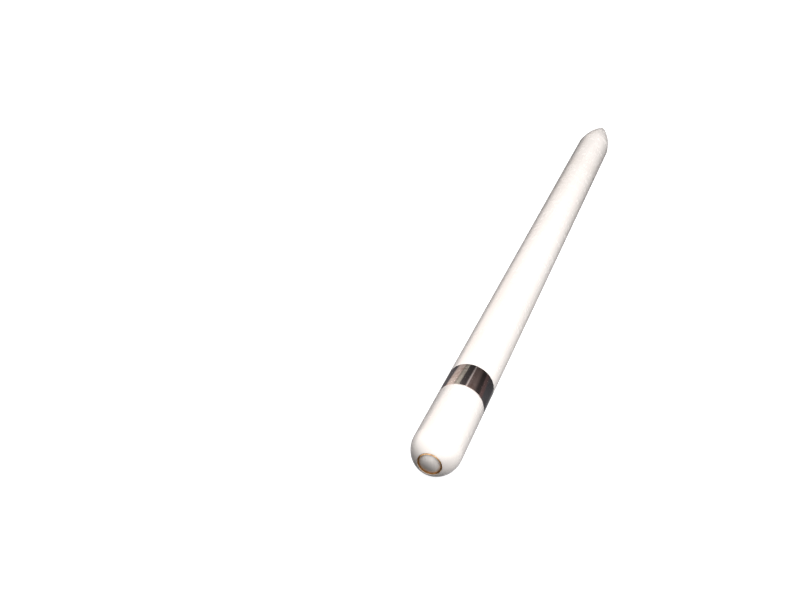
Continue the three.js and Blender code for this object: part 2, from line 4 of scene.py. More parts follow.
import bmesh
import bpy
from bpy.props import FloatProperty, FloatVectorProperty, IntProperty, PointerProperty
from bpy.types import Operator, Panel, PropertyGroup
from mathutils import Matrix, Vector


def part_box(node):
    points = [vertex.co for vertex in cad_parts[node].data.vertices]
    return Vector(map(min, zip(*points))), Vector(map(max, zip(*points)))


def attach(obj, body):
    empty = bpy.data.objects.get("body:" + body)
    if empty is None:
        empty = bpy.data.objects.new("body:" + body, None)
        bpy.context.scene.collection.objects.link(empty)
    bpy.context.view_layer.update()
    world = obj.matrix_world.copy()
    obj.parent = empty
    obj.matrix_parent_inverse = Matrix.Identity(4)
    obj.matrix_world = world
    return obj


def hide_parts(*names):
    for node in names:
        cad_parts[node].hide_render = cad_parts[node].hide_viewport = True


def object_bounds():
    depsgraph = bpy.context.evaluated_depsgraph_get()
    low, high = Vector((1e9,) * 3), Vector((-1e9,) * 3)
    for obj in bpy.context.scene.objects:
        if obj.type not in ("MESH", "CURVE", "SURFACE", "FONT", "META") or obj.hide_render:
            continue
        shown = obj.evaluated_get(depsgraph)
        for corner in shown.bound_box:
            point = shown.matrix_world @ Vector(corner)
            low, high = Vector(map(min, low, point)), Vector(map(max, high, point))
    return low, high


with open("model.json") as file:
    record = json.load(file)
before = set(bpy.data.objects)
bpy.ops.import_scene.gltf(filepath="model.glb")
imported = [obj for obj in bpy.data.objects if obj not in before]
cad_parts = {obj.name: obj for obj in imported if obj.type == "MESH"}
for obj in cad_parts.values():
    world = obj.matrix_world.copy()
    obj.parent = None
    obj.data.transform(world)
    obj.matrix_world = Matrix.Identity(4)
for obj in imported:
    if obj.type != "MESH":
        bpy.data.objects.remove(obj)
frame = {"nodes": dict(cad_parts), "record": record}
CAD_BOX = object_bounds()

bl_info = {
    "name": "White Stylus Pen",
    "version": (1, 0, 0),
    "blender": (4, 5, 0),
    "location": "3D Viewport > Sidebar > Pen",
    "description": "Builds the pieces and finishes of a round white stylus pen around its CAD frame",
    "category": "Add Mesh",
}

# The frame: X runs along the pen from the cap's end to the point, Z is up, lengths are in metres.
LOW, HIGH = CAD_BOX
AXIS_HEIGHT = (LOW.z + HIGH.z) / 2
BODY_RADIUS = (HIGH.z - LOW.z) / 2
CAP_END = Vector((LOW.x, 0.0, AXIS_HEIGHT))

MM = 0.001
MICRON = 1e-6
WELD = 1e-7  # corners closer than this are one corner
FLAT_TURN = math.radians(1)  # CAD faces that turn less than this are one face
HARD_TURN = 0.5  # a CAD edge that turns more than this, in radians, is rounded
SHARP_CORNER = math.radians(20)  # an outline corner that turns more than this is eased
CORNER_SHARE = 0.45  # how much of a stretch one eased corner may take
SHARP_EDGE = math.radians(32)  # a mesh edge that turns more than this is shaded as an edge
ROUND_STEPS = 5  # points around each eased corner
FRONT_ROWS = 6  # rows of faces between two CAD corners of the front taper
ROUNDNESS = 0.005 * MM  # how closely the ball's corners have to lie on one ball
THREAD_ROWS = 12  # rows of faces along each turn of a thread
HALF_ROUND_STEPS = 12  # faces around each full-round side of the plug's slot
PLUG_ROOM = 0.05 * MM  # gap between the plug and the collar around it
POCKET_DEPTH = 1.25 * MM  # how far the collar's pocket reaches forward of the plug frame's back
FLOOR_SIDES = 48
FLOOR_GAP = 0.01 * MM  # between the pen and the floor under it
SENSOR_WIDTH = 36.0


# ---------------------------------------------------------------- what a user may change


class PenSizes(PropertyGroup):
    """Sizes of the fine detail that the pieces have beyond their CAD solids"""

    segments: IntProperty(
        name="Segments",
        description="Faces around each turned piece",
        default=144,
        min=32,
        max=512,
    )
    dome_steps: IntProperty(
        name="Dome Steps",
        description="Rows of faces along the cap's dome, the end disc and the ball of the tip",
        default=28,
        min=6,
        max=96,
    )
    moulded_edge: FloatProperty(
        name="Moulded Edge",
        description="Rounding of the edges of moulded plastic",
        default=0.09 * MM,
        min=0.0,
        unit="LENGTH",
    )
    disc_edge: FloatProperty(
        name="Disc Edge",
        description="Rounding of the end disc's rim",
        default=0.24 * MM,
        min=0.0,
        unit="LENGTH",
    )
    disc_crown: FloatProperty(
        name="Disc Crown",
        description="How far the end disc's middle stands above its rim",
        default=0.6 * MM,
        min=0.0,
        unit="LENGTH",
    )
    ring_slant: FloatProperty(
        name="Ring Slant",
        description="How far the bronze ring's face falls away from its inner edge to its outer one",
        default=0.12 * MM,
        min=0.0,
        unit="LENGTH",
    )
    metal_edge: FloatProperty(
        name="Metal Edge",
        description="Rounding of the edges of metal rings",
        default=0.05 * MM,
        min=0.0,
        unit="LENGTH",
    )
    thread_pitch: FloatProperty(
        name="Thread Pitch",
        description="Pitch of the thread that holds the tip",
        default=0.5 * MM,
        min=0.2 * MM,
        unit="LENGTH",
    )
    thread_depth: FloatProperty(
        name="Thread Depth",
        description="Height of the thread on the stem, in and out from its plain radius",
        default=0.045 * MM,
        min=0.0,
        unit="LENGTH",
    )


class PenFinishes(PropertyGroup):
    """Colours of the pen's finishes, each before wear and fine variation"""

    white: FloatVectorProperty(
        name="White Plastic",
        description="Glossy white plastic of the cap, the barrel and the tip",
        subtype="COLOR",
        default=(0.90, 0.859, 0.832),
        min=0.0,
        max=1.0,
    )
    white_shade: FloatVectorProperty(
        name="White Shade",
        description="Slightly warmer tone that clouds the white plastic",
        subtype="COLOR",
        default=(0.87, 0.822, 0.788),
        min=0.0,
        max=1.0,
    )
    # The band's two tones are blended by painted reflection streaks around the band and by random
    # patches.
    band_light: FloatVectorProperty(
        name="Band Light",
        description="Lighter tone of the polished dark metal band",
        subtype="COLOR",
        default=(0.64, 0.60, 0.585),
        min=0.0,
        max=1.0,
    )
    band_dark: FloatVectorProperty(
        name="Band Dark",
        description="Darker tone of the polished dark metal band",
        subtype="COLOR",
        default=(0.44, 0.40, 0.39),
        min=0.0,
        max=1.0,
    )
    bronze_light: FloatVectorProperty(
        name="Bronze Light",
        description="Rubbed tone of the ring around the end disc",
        subtype="COLOR",
        default=(0.62, 0.39, 0.18),
        min=0.0,
        max=1.0,
    )
    bronze_dark: FloatVectorProperty(
        name="Bronze Dark",
        description="Tarnished tone of the ring around the end disc",
        subtype="COLOR",
        default=(0.27, 0.13, 0.055),
        min=0.0,
        max=1.0,
    )


class StudioSettings(PropertyGroup):
    """Camera, floor and light"""

    camera_offset: FloatVectorProperty(
        name="Camera Offset",
        description="Camera's place, from the middle of the cap's end",
        subtype="XYZ",
        unit="LENGTH",
        default=(-109.31 * MM, -34.91 * MM, 96.14 * MM),
    )
    camera_heading: FloatProperty(
        name="Camera Heading",
        description="Which way the camera looks, anticlockwise from the pen's own direction",
        subtype="ANGLE",
        default=math.radians(20.04),
    )
    camera_pitch: FloatProperty(
        name="Camera Pitch",
        description="How far the camera looks down",
        subtype="ANGLE",
        default=math.radians(29.6),
    )
    lens: FloatProperty(
        name="Lens",
        description="Focal length on a 36 mm wide sensor",
        default=40.7,
        min=5.0,
        subtype="DISTANCE_CAMERA",
    )
    light_level: FloatProperty(
        name="Light Level",
        description="Strength of the soft light, averaged over all directions",
        default=0.9,
        min=0.0,
    )
    light_slope: FloatProperty(
        name="Light Slope",
        description="How much brighter the light is from its own side than on average",
        default=2.85,
        min=0.0,
    )
    light_side: FloatVectorProperty(
        name="Light Side",
        description="Direction that the light is brightest from",
        subtype="DIRECTION",
        default=(0.15, -0.43, 0.87),
    )
    floor_reach: FloatProperty(
        name="Floor Reach",
        description="Distance from the pen to the edge of the floor",
        default=6.0,
        min=0.5,
        unit="LENGTH",
    )


def sizes():
    return bpy.context.scene.pen_sizes


def finishes():
    return bpy.context.scene.pen_finishes


def studio():
    return bpy.context.scene.pen_studio


# ---------------------------------------------------------------- reading the frame


def body_of_node(node):
    """The CAD body that a node belongs to."""
    for body, members in frame["record"]["behaviour"]["bodies"].items():
        if node in members:
            return body
    raise RuntimeError(f"no CAD body holds {node}")


def slot_of_node(node):
    """The record's material slot of a node."""
    for part in frame["record"]["subparts"]:
        if part["node"] == node:
            return part["material_slot"]
    raise RuntimeError(f"the record has no subpart {node}")


def welded(node):
    """A bmesh copy of a CAD node with its split corners joined."""
    shape = bmesh.new()
    shape.from_mesh(frame["nodes"][node].data)
    bmesh.ops.remove_doubles(shape, verts=shape.verts, dist=WELD)
    return shape


def outline_of(node):
    """A turned CAD node's outline as (x, radius), in order along one row of its corners.

    It is closed for a ring, and runs from axis to axis for a solid piece.
    """
    shape = welded(node)
    rows = {}
    middle = set()
    for corner in shape.verts:
        across, up = corner.co.y, corner.co.z - AXIS_HEIGHT
        if math.hypot(across, up) < 10 * WELD:
            middle.add(corner)
        else:
            rows.setdefault(round(math.degrees(math.atan2(up, across))), []).append(corner)
    longest = max(len(row) for row in rows.values())
    full_rows = [row for row in rows.values() if len(row) == longest]
    flat = math.cos(math.pi / len(full_rows))
    members = set(full_rows[0]) | middle

    def neighbours(corner):
        return [e.other_vert(corner) for e in corner.link_edges if e.other_vert(corner) in members]

    # A set has no order, so corners with the same x are told apart by the rest of their place.
    ends = [c for c in members if len(neighbours(c)) == 1]
    at = min(ends or members, key=lambda c: tuple(c.co))
    path = [at]
    while True:
        onward = [c for c in neighbours(at) if c not in path]
        if not onward:
            break
        at = onward[0]
        path.append(at)
    outline = [
        (c.co.x, flat * math.hypot(c.co.y, c.co.z - AXIS_HEIGHT) if c not in middle else 0.0)
        for c in path
    ]
    shape.free()
    if len(outline) != len(members):
        raise RuntimeError(f"{node}'s outline is broken")
    return outline


# ---------------------------------------------------------------- outlines


def eased(outline, reach, closed=True):
    """outline with its outward corners rounded, each over reach at most."""
    count = len(outline)
    points = [Vector(p) for p in outline]
    area = sum(points[i - 1].cross(points[i]) for i in range(count))
    made = []
    for i, corner in enumerate(points):
        if not closed and i in (0, count - 1):
            made.append(tuple(corner))
            continue
        before = points[i - 1] - corner
        after = points[(i + 1) % count] - corner
        turn = math.pi - before.angle(after)
        outward = (-before).cross(after) * area > 0
        length = min(reach, CORNER_SHARE * before.length, CORNER_SHARE * after.length)
        if turn < SHARP_CORNER or not outward or length <= WELD:
            made.append(tuple(corner))
            continue
        start = corner + before.normalized() * length
        end = corner + after.normalized() * length
        for step in range(ROUND_STEPS):
            share = step / (ROUND_STEPS - 1)
            curve = start * (1 - share) ** 2 + corner * 2 * share * (1 - share) + end * share**2
            made.append(tuple(curve))
    return made


def dome_points(rim, shoulder_x, radius, steps):
    """Points of a quarter ellipse from rim, an (x, radius), to where it meets the sleeve."""
    rim_x, rim_radius = rim
    depth = (shoulder_x - rim_x) / math.sqrt(1 - (rim_radius / radius) ** 2)
    start_angle = math.asin(rim_radius / radius)
    made = []
    for step in range(steps + 1):
        angle = start_angle + (math.pi / 2 - start_angle) * step / steps
        made.append((shoulder_x - depth * math.cos(angle), radius * math.sin(angle)))
    return made


def crown_points(apex_x, rim, steps):
    """Points of a shallow crown from the axis to rim."""
    rim_x, rim_radius = rim
    return [
        (apex_x + (rim_x - apex_x) * (step / steps) ** 2, rim_radius * step / steps)
        for step in range(steps + 1)
    ]


def ball_radius(point):
    """The radius of a ball on the axis that passes through point and ends at the pen's point."""
    back = HIGH.x - point[0]
    return (back**2 + point[1] ** 2) / (2 * back)


def ball_points(start, steps):
    """Points of a ball from start to the pen's point."""
    radius = ball_radius(start)
    centre = HIGH.x - radius
    first = math.asin((start[0] - centre) / radius)
    made = []
    for step in range(steps + 1):
        angle = first + (math.pi / 2 - first) * step / steps
        made.append((centre + radius * math.sin(angle), radius * math.cos(angle)))
    made[-1] = (HIGH.x, 0.0)
    return made


# ---------------------------------------------------------------- meshes


def lathe(outline, closed=True, ripple=None):
    """A bmesh of outline, in (x, radius), turned about the pen's axis.

    ripple gives a change of radius at (x, radius, angle), for a thread.
    """
    shape = bmesh.new()
    segments = sizes().segments
    rings = []
    for x, radius in outline:
        if radius < WELD:
            rings.append([shape.verts.new((x, 0.0, AXIS_HEIGHT))])
            continue
        ring = []
        for i in range(segments):
            angle = 2 * math.pi * i / segments
            out = radius + (ripple(x, radius, angle) if ripple else 0.0)
            place = (x, out * math.cos(angle), AXIS_HEIGHT + out * math.sin(angle))
            ring.append(shape.verts.new(place))
        rings.append(ring)
    pairs = list(zip(rings, rings[1:] + rings[:1]))
    if not closed:
        pairs.pop()
    for first, second in pairs:
        if len(first) == 1 and len(second) == 1:
            continue
        for i in range(segments):
            j = (i + 1) % segments
            if len(first) == 1:
                shape.faces.new((first[0], second[j], second[i]))
            elif len(second) == 1:
                shape.faces.new((first[i], first[j], second[0]))
            else:
                shape.faces.new((first[i], first[j], second[j], second[i]))
    bmesh.ops.recalc_face_normals(shape, faces=shape.faces)
    return shape


def softened_copy(nodes, width, rounds=2):
    """A bmesh of CAD nodes whose outward edges are rounded over width."""
    joined = bmesh.new()
    for node in nodes:
        shape = welded(node)
        bmesh.ops.dissolve_limit(
            shape, angle_limit=FLAT_TURN, verts=shape.verts, edges=shape.edges
        )
        outward = [e for e in shape.edges if e.is_manifold and e.is_convex]
        hard = [e for e in outward if e.calc_face_angle() > HARD_TURN]
        bmesh.ops.bevel(
            shape,
            geom=hard,
            offset=width,
            offset_type="OFFSET",
            segments=rounds,
            profile=0.5,
            affect="EDGES",
            clamp_overlap=True,
        )
        mesh = bpy.data.meshes.new("copy")
        shape.to_mesh(mesh)
        shape.free()
        joined.from_mesh(mesh)
        bpy.data.meshes.remove(mesh)
    return joined


def carved(shape, cutters):
    """shape with each of the cutter bmeshes taken away from it. The cutters are used up."""
    scene = bpy.context.scene
    mesh = bpy.data.meshes.new("carved")
    shape.to_mesh(mesh)
    shape.free()
    block = bpy.data.objects.new("carved", mesh)
    scene.collection.objects.link(block)
    tools = []
    for cutter in cutters:
        tool_mesh = bpy.data.meshes.new("cutter")
        cutter.to_mesh(tool_mesh)
        cutter.free()
        tool = bpy.data.objects.new("cutter", tool_mesh)
        scene.collection.objects.link(tool)
        tools.append(tool)
        cut = block.modifiers.new("cut", "BOOLEAN")
        cut.operation = "DIFFERENCE"
        cut.solver = "EXACT"
        cut.object = tool
    bpy.context.view_layer.update()
    seen = block.evaluated_get(bpy.context.evaluated_depsgraph_get())
    made = bmesh.new()
    made.from_mesh(seen.data)
    for used in [block, *tools]:
        used_mesh = used.data
        bpy.data.objects.remove(used)
        bpy.data.meshes.remove(used_mesh)
    return made


def bar(low, high, half_round=False):
    """A bmesh bar along X between two corners, with full-round sides if half_round."""
    shape = bmesh.new()
    middle = (low + high) / 2
    half_width, half_height = (high.y - low.y) / 2, (high.z - low.z) / 2
    corners = [(half_width, half_height), (-half_width, half_height)]
    corners += [(-half_width, -half_height), (half_width, -half_height)]
    if half_round:
        run = half_width - half_height
        corners = []
        for side in (1, -1):
            for step in range(HALF_ROUND_STEPS + 1):
                angle = side * math.pi / 2 - math.pi * step / HALF_ROUND_STEPS
                across = side * run + half_height * math.cos(angle)
                corners.append((across, half_height * math.sin(angle)))
    ends = [
        [shape.verts.new((x, middle.y + y, middle.z + z)) for y, z in corners]
        for x in (low.x, high.x)
    ]
    for i in range(len(corners)):
        j = (i + 1) % len(corners)
        shape.faces.new((ends[0][i], ends[0][j], ends[1][j], ends[1][i]))
    shape.faces.new(ends[0])
    shape.faces.new(ends[1])
    bmesh.ops.recalc_face_normals(shape, faces=shape.faces)
    return shape


def settle(name, shape, nodes, finish):
    """Turns a bmesh into the piece called name, which stands for the CAD nodes."""
    old = bpy.data.objects.get(name)
    if old is not None:
        bpy.data.objects.remove(old)
    mesh = bpy.data.meshes.new(name)
    shape.to_mesh(mesh)
    shape.free()
    if not mesh.polygons:
        raise RuntimeError(f"{name} has no faces")
    mesh.shade_smooth()
    mesh.set_sharp_from_angle(angle=SHARP_EDGE)
    mesh.materials.append(finish)
    piece = bpy.data.objects.new(name, mesh)
    bpy.context.scene.collection.objects.link(piece)
    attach(piece, body_of_node(nodes[0]))
    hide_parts(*nodes)


def turned_piece(name, node, finish, reach):
    """A turned CAD node made again with true rounds and eased edges."""
    outline = outline_of(node)
    closed = outline[0][1] > WELD
    settle(name, lathe(eased(outline, reach, closed), closed), [node], finish)


# ---------------------------------------------------------------- finishes


COAT_ROUGHNESS = 0.05
BLEND_FIRST, BLEND_SECOND, BLEND_RESULT = 6, 7, 2  # the colour sockets of a mix node


class Nodes:
    """Short ways to add and join the nodes of one tree."""

    def __init__(self, tree):
        self.tree = tree

    def add(self, kind, **settings):
        node = self.tree.nodes.new(kind)
        for key, value in settings.items():
            setattr(node, key, value)
        return node

    def join(self, source, target):
        self.tree.links.new(source, target)

    def feed(self, value, target):
        """Joins a socket to target, or sets target to a plain number."""
        if isinstance(value, (int, float)):
            target.default_value = value
        else:
            self.join(value, target)

    def maths(self, operation, *values):
        node = self.add("ShaderNodeMath", operation=operation)
        for value, socket in zip(values, node.inputs):
            self.feed(value, socket)
        return node.outputs["Value"]

    def mapped(self, value, low, high, to_low, to_high):
        """value from low..high brought to to_low..to_high, and kept inside them."""
        node = self.add("ShaderNodeMapRange")
        self.join(value, node.inputs["Value"])
        node.inputs["From Min"].default_value = low
        node.inputs["From Max"].default_value = high
        node.inputs["To Min"].default_value = to_low
        node.inputs["To Max"].default_value = to_high
        return node.outputs["Result"]


class Finish(Nodes):
    """A new material, with short ways to make the patterns that the finishes share."""

    def __init__(self, name):
        self.material = bpy.data.materials.new(name)
        self.material.use_nodes = True
        super().__init__(self.material.node_tree)
        self.shader = self.tree.nodes["Principled BSDF"]
        self.place = self.add("ShaderNodeTexCoord").outputs["Object"]

    def stretched(self, along, across):
        """Coordinates that run along times as fast along the pen, and across times around it."""
        node = self.add("ShaderNodeMapping")
        self.join(self.place, node.inputs["Vector"])
        node.inputs["Scale"].default_value = (along, across, across)
        return node.outputs["Vector"]

    def noise(self, scale, detail=2.0, rough=0.5, place=None):
        """Cloudy values from 0 to 1, with scale repeats to the metre."""
        node = self.add("ShaderNodeTexNoise")
        self.join(place or self.place, node.inputs["Vector"])
        node.inputs["Scale"].default_value = scale
        node.inputs["Detail"].default_value = detail
        node.inputs["Roughness"].default_value = rough
        return node.outputs["Fac"]

    def cells(self, scale, feature="F1"):
        """Distances from scattered centres, with scale centres to the metre."""
        node = self.add("ShaderNodeTexVoronoi", feature=feature)
        self.join(self.place, node.inputs["Vector"])
        node.inputs["Scale"].default_value = scale
        return node.outputs["Distance"]

    def blend(self, factor, first, second):
        """first where factor is 0 and second where it is 1. Each is a colour or a socket."""
        node = self.add("ShaderNodeMix", data_type="RGBA")
        self.join(factor, node.inputs["Factor"])
        for value, at in ((first, BLEND_FIRST), (second, BLEND_SECOND)):
            if isinstance(value, bpy.types.NodeSocket):
                self.join(value, node.inputs[at])
            else:
                node.inputs[at].default_value = (*value, 1.0)
        return node.outputs[BLEND_RESULT]

    def edge_wear(self, low, high):
        """0 on the flats and 1 on the outward edges."""
        return self.mapped(self.add("ShaderNodeNewGeometry").outputs["Pointiness"], low, high, 0, 1)

    def colour(self, source):
        self.join(source, self.shader.inputs["Base Color"])

    def roughness(self, source):
        self.join(source, self.shader.inputs["Roughness"])

    def relief(self, *layers):
        """Bump from (height socket, depth in metres) layers, the coarsest first."""
        below = None
        for height, depth in layers:
            node = self.add("ShaderNodeBump")
            node.inputs["Distance"].default_value = depth
            self.join(height, node.inputs["Height"])
            if below is not None:
                self.join(below, node.inputs["Normal"])
            below = node.outputs["Normal"]
        self.join(below, self.shader.inputs["Normal"])

    def gloss(self, metallic=0.0, coat=0.0, ior=1.5):
        self.shader.inputs["Metallic"].default_value = metallic
        self.shader.inputs["Coat Weight"].default_value = coat
        self.shader.inputs["Coat Roughness"].default_value = COAT_ROUGHNESS
        self.shader.inputs["IOR"].default_value = ior


def made_once(build):
    """Keeps the material that build makes, so that pieces of one finish share it."""

    def kept():
        found = bpy.data.materials.get(build.__name__)
        return found or build(Finish(build.__name__))

    return kept


@made_once
def white_gloss_plastic(f):
    cloud = f.mapped(f.noise(70, 3, 0.55), 0.35, 0.7, 0, 1)
    tone = f.blend(cloud, finishes().white, finishes().white_shade)
    speck = f.mapped(f.cells(5200), 0.0, 0.06, 1, 0)
    speck = f.maths("MULTIPLY", speck, f.mapped(f.noise(900, 1), 0.6, 0.66, 0, 0.12))
    f.colour(f.blend(speck, tone, (0.52, 0.47, 0.43)))
    hairline = f.noise(1, 3, 0.6, f.stretched(260, 5200))
    scuff = f.mapped(f.noise(420, 4, 0.65), 0.52, 0.72, 0, 0.09)
    base = f.mapped(hairline, 0.3, 0.7, 0.2, 0.29)
    f.roughness(f.maths("ADD", base, scuff))
    f.relief(
        (f.noise(900, 2, 0.45), 1.5 * MICRON),
        (f.noise(7000, 3, 0.6), 0.5 * MICRON),
        (hairline, 0.3 * MICRON),
    )
    f.gloss(coat=0.7, ior=1.55)
    return f.material


@made_once
def white_matte_plastic(f):
    cloud = f.mapped(f.noise(160, 3), 0.35, 0.7, 0, 1)
    f.colour(f.blend(cloud, (0.80, 0.79, 0.775), (0.72, 0.70, 0.68)))
    grain = f.noise(9000, 3, 0.6)
    f.roughness(f.mapped(grain, 0.3, 0.7, 0.42, 0.6))
    f.relief((f.noise(1600, 2), 2.5 * MICRON), (grain, 2.0 * MICRON))
    f.gloss()
    return f.material


# Polished dark metal whose base colour carries painted reflection streaks around the band, over
# random patches, stains and flecks.
@made_once
def dark_mirror_metal(f):
    # Painted reflection: streaks that run along the pen and change fast around it, blended into the
    # base colour; the patches vary at random.
    painted_reflection_streak = f.noise(1, 3, 0.62, f.stretched(60, 1500))
    patch = f.noise(750, 4, 0.7)
    share = f.maths("ADD", f.mapped(painted_reflection_streak, 0.3, 0.7, 0, 0.6), f.mapped(patch, 0.35, 0.7, 0, 0.4))
    tone = f.blend(share, finishes().band_light, finishes().band_dark)
    stain = f.mapped(f.noise(520, 3, 0.6), 0.55, 0.7, 0, 0.6)
    tone = f.blend(stain, tone, (0.36, 0.27, 0.23))
    fleck = f.mapped(f.cells(2300), 0.1, 0.3, 1, 0)
    fleck = f.maths("MULTIPLY", fleck, f.mapped(f.noise(620, 2), 0.46, 0.6, 0, 1))
    f.colour(f.blend(fleck, tone, (1.0, 0.95, 0.9)))
    fine = f.noise(1, 4, 0.7, f.stretched(500, 16000))
    smudge = f.mapped(f.noise(380, 4, 0.6), 0.5, 0.75, 0, 0.06)
    f.roughness(f.maths("ADD", f.mapped(fine, 0.3, 0.7, 0.03, 0.07), smudge))
    f.relief(
        (f.noise(1400, 3, 0.6), 7.0 * MICRON),
        (f.noise(6500, 2, 0.5), 2.2 * MICRON),
        (fine, 0.3 * MICRON),
    )
    f.gloss(metallic=1.0)
    return f.material


@made_once
def bronze_ring_metal(f):
    worn = f.edge_wear(0.5, 0.56)
    cloud = f.mapped(f.noise(2600, 3, 0.6), 0.35, 0.65, 0, 1)
    share = f.maths("MULTIPLY", cloud, f.mapped(worn, 0, 1, 1, 0.25))
    f.colour(f.blend(share, finishes().bronze_light, finishes().bronze_dark))
    f.roughness(f.mapped(f.noise(9000, 3, 0.6), 0.3, 0.7, 0.2, 0.38))
    f.relief((f.noise(4000, 2), 2.0 * MICRON), (f.noise(16000, 2), 0.6 * MICRON))
    f.gloss(metallic=1.0)
    return f.material


def brushed(f, light, dark, rough_low, rough_high, lines=(400, 14000)):
    """A metal with fine lines along the pen and duller clouds."""
    line = f.noise(1, 4, 0.65, f.stretched(*lines))
    cloud = f.noise(420, 3, 0.6)
    share = f.maths("ADD", f.mapped(line, 0.3, 0.7, 0, 0.5), f.mapped(cloud, 0.35, 0.7, 0, 0.5))
    f.colour(f.blend(share, light, dark))
    base = f.mapped(line, 0.3, 0.7, rough_low, rough_high)
    f.roughness(f.maths("ADD", base, f.mapped(cloud, 0.4, 0.8, 0, 0.1)))
    f.relief((f.noise(2600, 2), 1.2 * MICRON), (line, 0.8 * MICRON))
    f.gloss(metallic=1.0)
    return f.material


@made_once
def brushed_steel(f):
    return brushed(f, (0.62, 0.61, 0.60), (0.46, 0.45, 0.44), 0.2, 0.34)


@made_once
def turned_steel(f):
    return brushed(f, (0.60, 0.60, 0.60), (0.42, 0.42, 0.43), 0.18, 0.3, lines=(14000, 300))


@made_once
def bright_nickel(f):
    return brushed(f, (0.68, 0.665, 0.63), (0.55, 0.535, 0.50), 0.14, 0.26, lines=(9000, 500))


@made_once
def contact_gold(f):
    return brushed(f, (0.90, 0.66, 0.30), (0.72, 0.50, 0.20), 0.16, 0.3)


@made_once
def turned_brass(f):
    return brushed(f, (0.78, 0.60, 0.28), (0.60, 0.43, 0.18), 0.2, 0.34, lines=(14000, 300))


def moulded(f, light, dark, rough_low, rough_high, grain_scale=8000, grain_depth=1.6 * MICRON):
    """A moulded plastic or rubber with fine grain and faint flow marks."""
    flow = f.noise(1, 3, 0.6, f.stretched(120, 420))
    grain = f.noise(grain_scale, 3, 0.6)
    f.colour(f.blend(f.mapped(flow, 0.3, 0.7, 0, 1), light, dark))
    f.roughness(f.mapped(grain, 0.3, 0.7, rough_low, rough_high))
    f.relief((f.noise(1500, 2), 2.0 * MICRON), (grain, grain_depth))
    f.gloss()
    return f.material


@made_once
def grey_plastic(f):
    return moulded(f, (0.50, 0.50, 0.50), (0.42, 0.42, 0.425), 0.4, 0.58)


@made_once
def black_plastic(f):
    return moulded(f, (0.028, 0.028, 0.030), (0.016, 0.016, 0.018), 0.34, 0.55)


@made_once
def grey_rubber(f):
    return moulded(f, (0.10, 0.10, 0.105), (0.065, 0.065, 0.07), 0.62, 0.82, 5000, 4.0 * MICRON)


@made_once
def board_lacquer(f):
    """Green lacquer over copper tracks, with the weave of the glass cloth just showing."""
    weave = f.cells(2600, "SMOOTH_F1")
    track = f.mapped(f.noise(1, 0, 0.5, f.stretched(260, 900)), 0.49, 0.51, 0, 1)
    tone = f.blend(track, (0.020, 0.115, 0.060), (0.035, 0.185, 0.090))
    pad = f.mapped(f.cells(1250), 0.12, 0.16, 1, 0)
    pad = f.maths("MULTIPLY", pad, f.mapped(f.noise(480, 1), 0.52, 0.55, 0, 1))
    f.colour(f.blend(pad, tone, (0.72, 0.66, 0.52)))
    f.roughness(f.mapped(f.noise(3000, 3), 0.3, 0.7, 0.26, 0.42))
    f.relief((track, 6.0 * MICRON), (weave, 3.0 * MICRON))
    f.gloss(coat=0.3)
    return f.material


@made_once
def amber_film(f):
    """Amber film over copper tracks that run along it."""
    lines = f.noise(1, 0, 0.5, f.stretched(4, 3400))
    copper = f.mapped(lines, 0.48, 0.52, 0, 1)
    tone = f.blend(copper, (0.40, 0.17, 0.030), (0.62, 0.31, 0.085))
    cloud = f.mapped(f.noise(300, 3), 0.35, 0.7, 0, 0.5)
    f.colour(f.blend(cloud, tone, (0.34, 0.13, 0.022)))
    f.roughness(f.mapped(f.noise(2400, 3), 0.3, 0.7, 0.22, 0.4))
    f.relief((copper, 5.0 * MICRON), (f.noise(5200, 2), 0.8 * MICRON))
    f.gloss(coat=0.4)
    return f.material


@made_once
def cell_sleeve(f):
    """Shrink sleeve over the battery cell, with faint folds around it."""
    fold = f.noise(1, 3, 0.6, f.stretched(900, 120))
    tone = f.blend(f.mapped(fold, 0.3, 0.7, 0, 1), (0.10, 0.16, 0.24), (0.075, 0.125, 0.19))
    f.colour(tone)
    f.roughness(f.mapped(f.noise(3600, 3), 0.3, 0.7, 0.3, 0.48))
    f.relief((fold, 9.0 * MICRON), (f.noise(6000, 2), 0.8 * MICRON))
    f.gloss(coat=0.2)
    return f.material


FINISH_OF_SLOT = {
    "white_gloss": white_gloss_plastic,
    "white_matte": white_matte_plastic,
    "grey_plastic": grey_plastic,
    "black_plastic": black_plastic,
    "rubber_grey": grey_rubber,
    "dark_mirror": dark_mirror_metal,
    "steel": brushed_steel,
    "nickel": bright_nickel,
    "bronze": bronze_ring_metal,
    "gold": contact_gold,
    "brass": turned_brass,
    "board_green": board_lacquer,
    "amber_film": amber_film,
    "cell_can": cell_sleeve,
}


def finish_of(node):
    """The finish that goes with a node's material slot in the record."""
    return FINISH_OF_SLOT[slot_of_node(node)]()


# ---------------------------------------------------------------- cap


class PEN_OT_cap_dome(Operator):
    """Turn the cap's white sleeve, with its dome drawn as a true ellipse"""

    bl_idname = "pen.cap_dome"
    bl_label = "Cap Dome"

    def execute(self, context):
        outline = outline_of("cap_shell")
        radius = max(r for x, r in outline)
        rim = min(outline)
        shoulder = min(x for x, r in outline if r > radius - WELD)
        seam_x, bore = max((x, r) for x, r in outline if r < radius - WELD)
        floor_x = max(x for x, r in outline if rim[0] < x < seam_x and abs(r - rim[1]) < WELD)
        steps = sizes().dome_steps
        points = dome_points(rim, shoulder, radius, steps)
        points += [(seam_x, radius), (seam_x, bore), (floor_x, bore), (floor_x, rim[1])]
        shape = lathe(eased(points, sizes().moulded_edge))
        settle("cap_dome", shape, ["cap_shell"], white_gloss_plastic())
        return {"FINISHED"}


